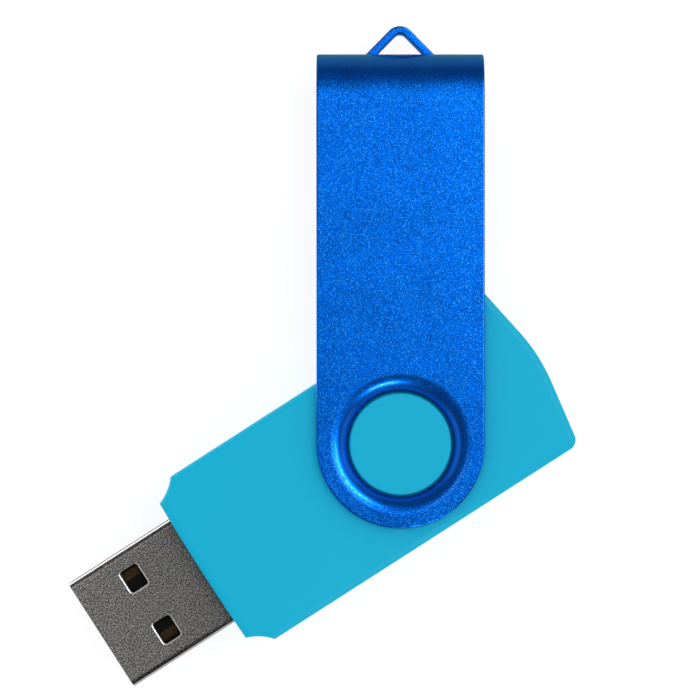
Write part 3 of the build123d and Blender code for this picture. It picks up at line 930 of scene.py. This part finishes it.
# %% Measures of the outline
HOUSING_LOW = 1.1
HALF_WIDTH = 9.5
NOSE_REACH = 23.25
NOSE_CORNER = (23.1, 7.85)
SHOULDER_X = 20.75
CORNER_HOLLOW = 0.2
TAIL_REACH = 16.05
TAIL_SLOPE = radians(9.3)
TAIL_TIP_ROUND = 17.6
TAIL_CORNER_ROUND = 1.1

tail_point_x = -TAIL_REACH - TAIL_TIP_ROUND * (1 / cos(TAIL_SLOPE) - 1)
tail_side = HALF_WIDTH - TAIL_CORNER_ROUND
tail_corner_x = (
    tail_point_x + tail_side * tan(TAIL_SLOPE) + TAIL_CORNER_ROUND / cos(TAIL_SLOPE)
)
print("housing", NOSE_REACH + TAIL_REACH, "x", 2 * HALF_WIDTH, "mm")


# %% Drawing the outline
def arc_to(x, y, rise, steps):
    """Draws an arc from the picked vertex, bowed to the left of its way by a rise."""
    start = picked_vertex()
    half = (Vector((x, y, start.z)) - start) / 2
    radius = (half.length_squared + rise**2) / (2 * rise)
    left = Vector((-half.y, half.x, 0)).normalized()
    center = start + half + left * (rise - radius)
    turn(-2 * asin(half.length / radius), center, UP, steps)


def draw_outline(z):
    """The housing's outline as one face, drawn from the nose round by the tail."""
    nose_x, nose_y = NOSE_CORNER
    corner_turn = pi / 2 - TAIL_SLOPE
    tip_start = TAIL_TIP_ROUND * sin(TAIL_SLOPE)
    shape = point("outline", (nose_x, -nose_y, z))
    arc_to(nose_x, nose_y, nose_x - NOSE_REACH, 10)
    arc_to(SHOULDER_X, HALF_WIDTH, CORNER_HOLLOW, 8)
    line_to(tail_corner_x, HALF_WIDTH, z)
    turn(corner_turn, (tail_corner_x, tail_side, z), UP, 10)
    line_to(tail_point_x + tip_start * tan(TAIL_SLOPE), tip_start, z)
    turn(2 * TAIL_SLOPE, (TAIL_TIP_ROUND - TAIL_REACH, 0, z), UP, 10)
    line_to(
        tail_corner_x - TAIL_CORNER_ROUND * cos(TAIL_SLOPE),
        -tail_side - TAIL_CORNER_ROUND * sin(TAIL_SLOPE), z,
    )
    turn(corner_turn, (tail_corner_x, -tail_side, z), UP, 10)
    line_to(SHOULDER_X, -HALF_WIDTH, z)
    arc_to(nose_x, -nose_y, CORNER_HOLLOW, 8)
    bpy.ops.mesh.select_all(action="SELECT")
    bpy.ops.mesh.remove_doubles(threshold=0.001)
    bpy.ops.mesh.edge_face_add()
    return shape


def inner_block(name, inset, low, high):
    """A block inside the housing, as far in from each side of its outline as the inset."""
    nose_x, nose_y = NOSE_CORNER
    tail_side_x = tail_point_x + HALF_WIDTH * tan(TAIL_SLOPE)
    shape = point(name, (nose_x, -nose_y, low))
    for x, y in (
        (nose_x, nose_y), (SHOULDER_X, HALF_WIDTH), (tail_side_x, HALF_WIDTH), (tail_point_x, 0),
        (tail_side_x, -HALF_WIDTH), (SHOULDER_X, -HALF_WIDTH),
    ):
        line_to(x, y, low)
    bpy.ops.mesh.select_all(action="SELECT")
    bpy.ops.mesh.edge_face_add()
    bpy.ops.mesh.select_mode(type="FACE")
    bpy.ops.mesh.inset(thickness=inset, depth=0)
    bpy.ops.mesh.select_all(action="INVERT")
    bpy.ops.mesh.delete(type="FACE")
    bpy.ops.mesh.select_all(action="SELECT")
    extrude((0, 0, high - low))
    close_up()
    return shape


# %% Measures of a shell
EDGE_ROUND_HOUSING = 0.7
PARTING_CHAMFER = 0.12
WALL = 1.2
LIP = (0.5, 0.5)  # thickness, and height over the parting line
FIT = 0.05  # play between two pieces
BOSS_RADIUS = 5.0
BOSS_RISE = 0.3
BOSS_ROUND = 0.2
GROOVE_RADIUS = 6.6
GROOVE_DEPTH = 0.85
GROOVE_FLOOR = 0.9
GROOVE_RIM_ROUND = 0.12
PLUG_SIZE = (12.0, 4.5)  # width and height
PLUG_CORNER = 0.65
PLUG_RIB_X = 20.3
POST_RADIUS = 0.9
POST_PLACES = [(x, y) for x in (13.3, -11.2) for y in (-6.3, 6.3)]
BOARD_LOW = 4.5
BOARD_TOP = 5.3
print("walls", WALL, "mm,", len(POST_PLACES), "posts in each shell")


# %% One shell
def shell_body(name):
    """The outside of one shell, with its lip's block still solid."""
    shell = draw_outline(HOUSING_LOW)
    shell.name = name
    extrude((0, 0, MIDDLE - HOUSING_LOW))
    close_up()
    pick(lambda edge: is_corner(edge) and middle(edge).z < HOUSING_LOW + NEAR, "EDGE")
    bevel(EDGE_ROUND_HOUSING, 8)
    pick(lambda edge: is_corner(edge) and middle(edge).z > MIDDLE - NEAR, "EDGE")
    bevel(PARTING_CHAMFER, 1)
    return shell


def add_boss(shell):
    """The pad, the groove that the cover's collar turns in, and the boss inside it."""
    pad_top = HOUSING_LOW + GROOVE_DEPTH + GROOVE_FLOOR
    boss_face = HOUSING_LOW - BOSS_RISE
    carve(shell, rod("pad", GROOVE_RADIUS + WALL, HOUSING_LOW + WALL / 2, pad_top), "UNION")
    carve(shell, rod("groove", GROOVE_RADIUS, -1, HOUSING_LOW + GROOVE_DEPTH))
    pick(lambda edge: abs(middle(edge).xy.length - GROOVE_RADIUS) < NEAR
         and abs(middle(edge).z - HOUSING_LOW) < NEAR, "EDGE")
    bevel(GROOVE_RIM_ROUND, 3)
    boss = rod("boss", BOSS_RADIUS, boss_face, pad_top - GROOVE_FLOOR / 2)
    pick(lambda edge: is_corner(edge) and middle(edge).z < boss_face + NEAR, "EDGE")
    bevel(BOSS_ROUND, 4)
    carve(shell, boss, "UNION")
    carve(shell, rod("hollow", BOSS_RADIUS - WALL, boss_face + WALL, MIDDLE))


def add_supports(shell, post_top):
    """Four posts that hold the board, and the rib that carries the plug."""
    root = HOUSING_LOW + WALL / 2
    posts = [rod("post", POST_RADIUS, root, post_top, 32, x, y) for x, y in POST_PLACES]
    rib = block(
        "rib", (PLUG_RIB_X - 0.5, -PLUG_SIZE[0] / 2, root),
        (PLUG_RIB_X + 0.5, PLUG_SIZE[0] / 2, MIDDLE - PLUG_SIZE[1] / 2 - FIT),
    )
    join(rib, *posts)
    carve(shell, rib, "UNION")


def cut_plug_opening(shell):
    half_width, half_height = PLUG_SIZE[0] / 2 + FIT, PLUG_SIZE[1] / 2 + FIT
    opening = block(
        "opening", (PLUG_RIB_X, -half_width, MIDDLE - half_height),
        (NOSE_REACH + 1, half_width, MIDDLE + half_height),
    )
    pick(lambda edge: abs(middle(edge).y) > half_width - NEAR
         and abs(middle(edge).z - MIDDLE) > half_height - NEAR, "EDGE")
    bevel(PLUG_CORNER, 6)
    carve(shell, opening)


def housing_shell(name, post_top, has_lip):
    """One shell as it lies below the middle of the drive."""
    shell = shell_body(name)
    thickness, height = LIP
    floor = HOUSING_LOW + WALL
    if has_lip:
        lip = inner_block("lip", WALL - thickness, MIDDLE - height, MIDDLE + height)
        carve(shell, lip, "UNION")
    carve(shell, inner_block("cavity", WALL, floor, MIDDLE + 1))
    if not has_lip:
        inset = WALL - thickness - FIT
        carve(shell, inner_block("rebate", inset, MIDDLE - height - FIT, MIDDLE + 1))
    add_boss(shell)
    add_supports(shell, post_top)
    cut_plug_opening(shell)
    return shell


# %% Both shells
lower_shell = housing_shell("housing_shell_lower", BOARD_LOW, has_lip=True)
upper_shell = housing_shell("housing_shell_upper", HEIGHT - BOARD_TOP, has_lip=False)
pick_objects(upper_shell)
upper_shell.rotation_euler.x = pi
upper_shell.location.z = HEIGHT
bpy.ops.object.transform_apply()
for shell in (lower_shell, upper_shell):
    print(shell.name, len(shell.data.polygons), "faces")

# %% [markdown]
# ## The USB-A plug
#
# The plug's sleeve is folded from thin steel, and its seam runs along the underside. A block
# with rounded long edges loses both ends, Solidify gives the sheet its thickness, and the four
# windows are pierced through. Piercing leaves a rounded rim, which catches the light, so the
# windows' outer edges are bevelled. The two legs grow out of the sleeve's back edge.

# %% Sleeve
PLUG_REACH = 35.1  # from the swivel axis
PLUG_SHEET = 0.3
PLUG_BACK = PLUG_REACH - 15.9
PLUG_LEG = (2.85, 1.8)  # length and height
PLUG_SEAM = 0.06
WINDOW = (1.95, 2.4, 0.3)  # length, width and corner
WINDOW_X = PLUG_REACH - 5.8
WINDOW_SPACING = 6.0
WINDOW_RIM = 0.17  # on three sides; the side towards -y stays sharp
PLUG_EDGE_ROUND = 0.1

plug_side, plug_rise = PLUG_SIZE[0] / 2, PLUG_SIZE[1] / 2
sleeve = block(
    "plug_sleeve", (PLUG_BACK, -plug_side, MIDDLE - plug_rise),
    (PLUG_REACH, plug_side, MIDDLE + plug_rise),
)
pick(lambda edge: abs(middle(edge).y) > plug_side - NEAR
     and abs(middle(edge).z - MIDDLE) > plug_rise - NEAR, "EDGE")
bevel(PLUG_CORNER, 8)
pick(lambda face: abs(face.normal.x) > 0.9)
bpy.ops.mesh.delete(type="FACE")
use_modifier(sleeve, "SOLIDIFY", thickness=PLUG_SHEET, offset=-1, use_even_offset=True)

windows = []
for side in (-1, 1):
    length, width, corner = WINDOW
    window_y = side * WINDOW_SPACING / 2
    window = block(
        "window", (WINDOW_X - length / 2, window_y - width / 2, MIDDLE - 4),
        (WINDOW_X + length / 2, window_y + width / 2, MIDDLE + 4),
    )
    pick(lambda edge: edge.calc_length() > 7, "EDGE")
    bevel(corner, 6)
    windows.append(window)
join(*windows)
carve(sleeve, windows[0])
sharp_sides = [side * WINDOW_SPACING / 2 - width / 2 for side in (-1, 1)]
pick(lambda edge: is_corner(edge) and abs(middle(edge).x - WINDOW_X) < length / 2 + NEAR
     and abs(abs(middle(edge).z - MIDDLE) - plug_rise) < NEAR
     and all(abs(middle(edge).y - sharp_side) > NEAR for sharp_side in sharp_sides), "EDGE")
bevel(WINDOW_RIM, 3)
tell("sleeve with four windows:")

# %% Its edge, legs and seam
pick(lambda edge: is_corner(edge) and middle(edge).x > PLUG_REACH - NEAR, "EDGE")
bevel(PLUG_EDGE_ROUND, 3)

back_leg, leg_height = PLUG_LEG
leg_middle = (BOARD_LOW + BOARD_TOP) / 2
for height in (leg_middle - leg_height / 2, leg_middle + leg_height / 2):
    pick(lambda face: abs(face.normal.z) < 0.2
         and abs(center(face).y) > plug_side - PLUG_SHEET - 0.1)
    bpy.ops.mesh.bisect(plane_co=(0, 0, height), plane_no=UP)
pick(lambda face: face.normal.x < -0.9 and abs(center(face).z - leg_middle) < 0.1
     and abs(center(face).y) > plug_side - PLUG_SHEET - 0.1)
extrude((-back_leg, 0, 0))
seam = block(
    "seam", (PLUG_BACK - 1, -PLUG_SEAM / 2, MIDDLE - plug_rise - 1),
    (PLUG_REACH + 1, PLUG_SEAM / 2, MIDDLE - plug_rise / 2),
)
carve(sleeve, seam)
tell("sleeve with legs and seam:")

# %% [markdown]
# The insulator is one black moulding: a block that fills the back of the sleeve and a tongue
# that carries the contacts. The tongue grows out of the lower part of the block's front face.
# Its grooves stop short of its tip, so that each contact's end is under plastic.

# %% Insulator
TONGUE_BACK = 0.4
TONGUE_TOP = 5.45
TONGUE_ROUND = 0.35
TONGUE_TIP_ROUND = 0.3
CAVITY_DEPTH = 9.1
CONTACT_WIDTH = 1.0
CONTACT_THICKNESS = 0.25
CONTACT_TAIL_X = 16.6
GROOVE_FIT = 0.02
CONTACTS = {  # name: place across the plug, and how far back from the plug's tip it ends
    "power": (-3.5, 1.6), "data_minus": (-1.0, 2.6), "data_plus": (1.0, 2.6), "ground": (3.5, 1.6),
}

inner_side = plug_side - PLUG_SHEET - FIT
inner_rise = plug_rise - PLUG_SHEET - FIT
cavity_end = PLUG_REACH - CAVITY_DEPTH
tongue = block(
    "insulator", (PLUG_BACK, -inner_side, MIDDLE - inner_rise),
    (cavity_end, inner_side, MIDDLE + inner_rise),
)
pick(lambda edge: abs(middle(edge).y) > inner_side - NEAR
     and abs(middle(edge).z - MIDDLE) > inner_rise - NEAR, "EDGE")
bevel(TONGUE_ROUND, 4)
bpy.ops.mesh.select_all(action="SELECT")
bpy.ops.mesh.bisect(plane_co=(0, 0, TONGUE_TOP), plane_no=UP)
pick(lambda face: face.normal.x > 0.9 and center(face).z < TONGUE_TOP)
extrude((CAVITY_DEPTH - TONGUE_BACK, 0, 0))
tip_x = PLUG_REACH - TONGUE_BACK
pick(lambda edge: middle(edge).x > tip_x - NEAR and is_corner(edge), "EDGE")
bevel(TONGUE_TIP_ROUND, 3)
groove_side = CONTACT_WIDTH / 2 + GROOVE_FIT
for place, back in CONTACTS.values():
    groove = block(
        "groove", (0, place - groove_side, BOARD_TOP),
        (PLUG_REACH - back + GROOVE_FIT, place + groove_side, BOARD_TOP + CONTACT_THICKNESS),
    )
    carve(tongue, groove)
tell("insulator:")

# %% [markdown]
# The four contacts are one stamped and plated strip with a rolled nose. It is modelled once,
# and each copy is moved to its groove and drawn out to its own length.

# %% Contacts
NOSE_ROUND = 0.12
SIDE_ROUND = 0.05
CONTACT_BACK = 2  # of the first one, from the plug's tip

top_from = BOARD_TOP + CONTACT_THICKNESS - 0.05
contact = block(
    "contact", (CONTACT_TAIL_X, -CONTACT_WIDTH / 2, BOARD_TOP),
    (PLUG_REACH - CONTACT_BACK, CONTACT_WIDTH / 2, BOARD_TOP + CONTACT_THICKNESS),
)
pick(lambda edge: middle(edge).x > PLUG_REACH - CONTACT_BACK - NEAR
     and middle(edge).z > top_from, "EDGE")
bevel(NOSE_ROUND, 4)
pick(lambda edge: is_corner(edge) and middle(edge).z > top_from
     and abs(middle(edge).y) > CONTACT_WIDTH / 2 - NEAR, "EDGE")
bevel(SIDE_ROUND, 3)
contacts = {}
for name, (place, back) in CONTACTS.items():
    pick_objects(contact)
    bpy.ops.object.duplicate()
    contacts[name] = bpy.context.object
    contacts[name].name = f"{name}_contact"
    bpy.ops.object.mode_set(mode="EDIT")
    bpy.ops.mesh.select_all(action="SELECT")
    bpy.ops.transform.translate(value=(0, place, 0))
    pick(lambda vertex: vertex.co.x > PLUG_REACH - CONTACT_BACK - 1, "VERT")
    bpy.ops.transform.translate(value=(CONTACT_BACK - back, 0, 0))
drop_all()
bpy.data.objects.remove(contact)
print("contacts", ", ".join(contacts))

# %% [markdown]
# ## Putting the pieces in place
#
# Each modelled piece takes the place of its CAD node and rides on the same body, so that the
# cover turns with everything on it. The CAD nodes inside the housing already have their right
# shape; they stay as they are and only get their finishes.

# %% Placing
PLACES = [  # piece, body, material slot, CAD node
    (cover, "cover", "cover_aluminium", "swivel_cover"),
    (lower_shell, "drive", "housing_plastic", "housing_bottom"),
    (upper_shell, "drive", "housing_plastic", "housing_top"),
    (sleeve, "drive", "plug_steel", "plug_shell"),
    (tongue, "drive", "insulator_plastic", "plug_insulator"),
]
for name, piece in contacts.items():
    PLACES.append((piece, "drive", "contact_gold", f"contact_{name}"))
for piece, body, slot_name, node in PLACES:
    place_piece(piece, body, node, FINISHES[slot_name])

for part in frame["record"]["subparts"]:
    node = frame["nodes"][part["node"]]
    if not node.hide_render:
        node.data.materials.clear()
        node.data.materials.append(FINISHES[part["material_slot"]].material)
        print(part["node"], len(node.data.polygons), "triangles")

# %% Sizes, for comparison
boxes = {"cad": cad_box, "visual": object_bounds()}
boxes = {name: [list(corner) for corner in box] for name, box in boxes.items()}
print(boxes)
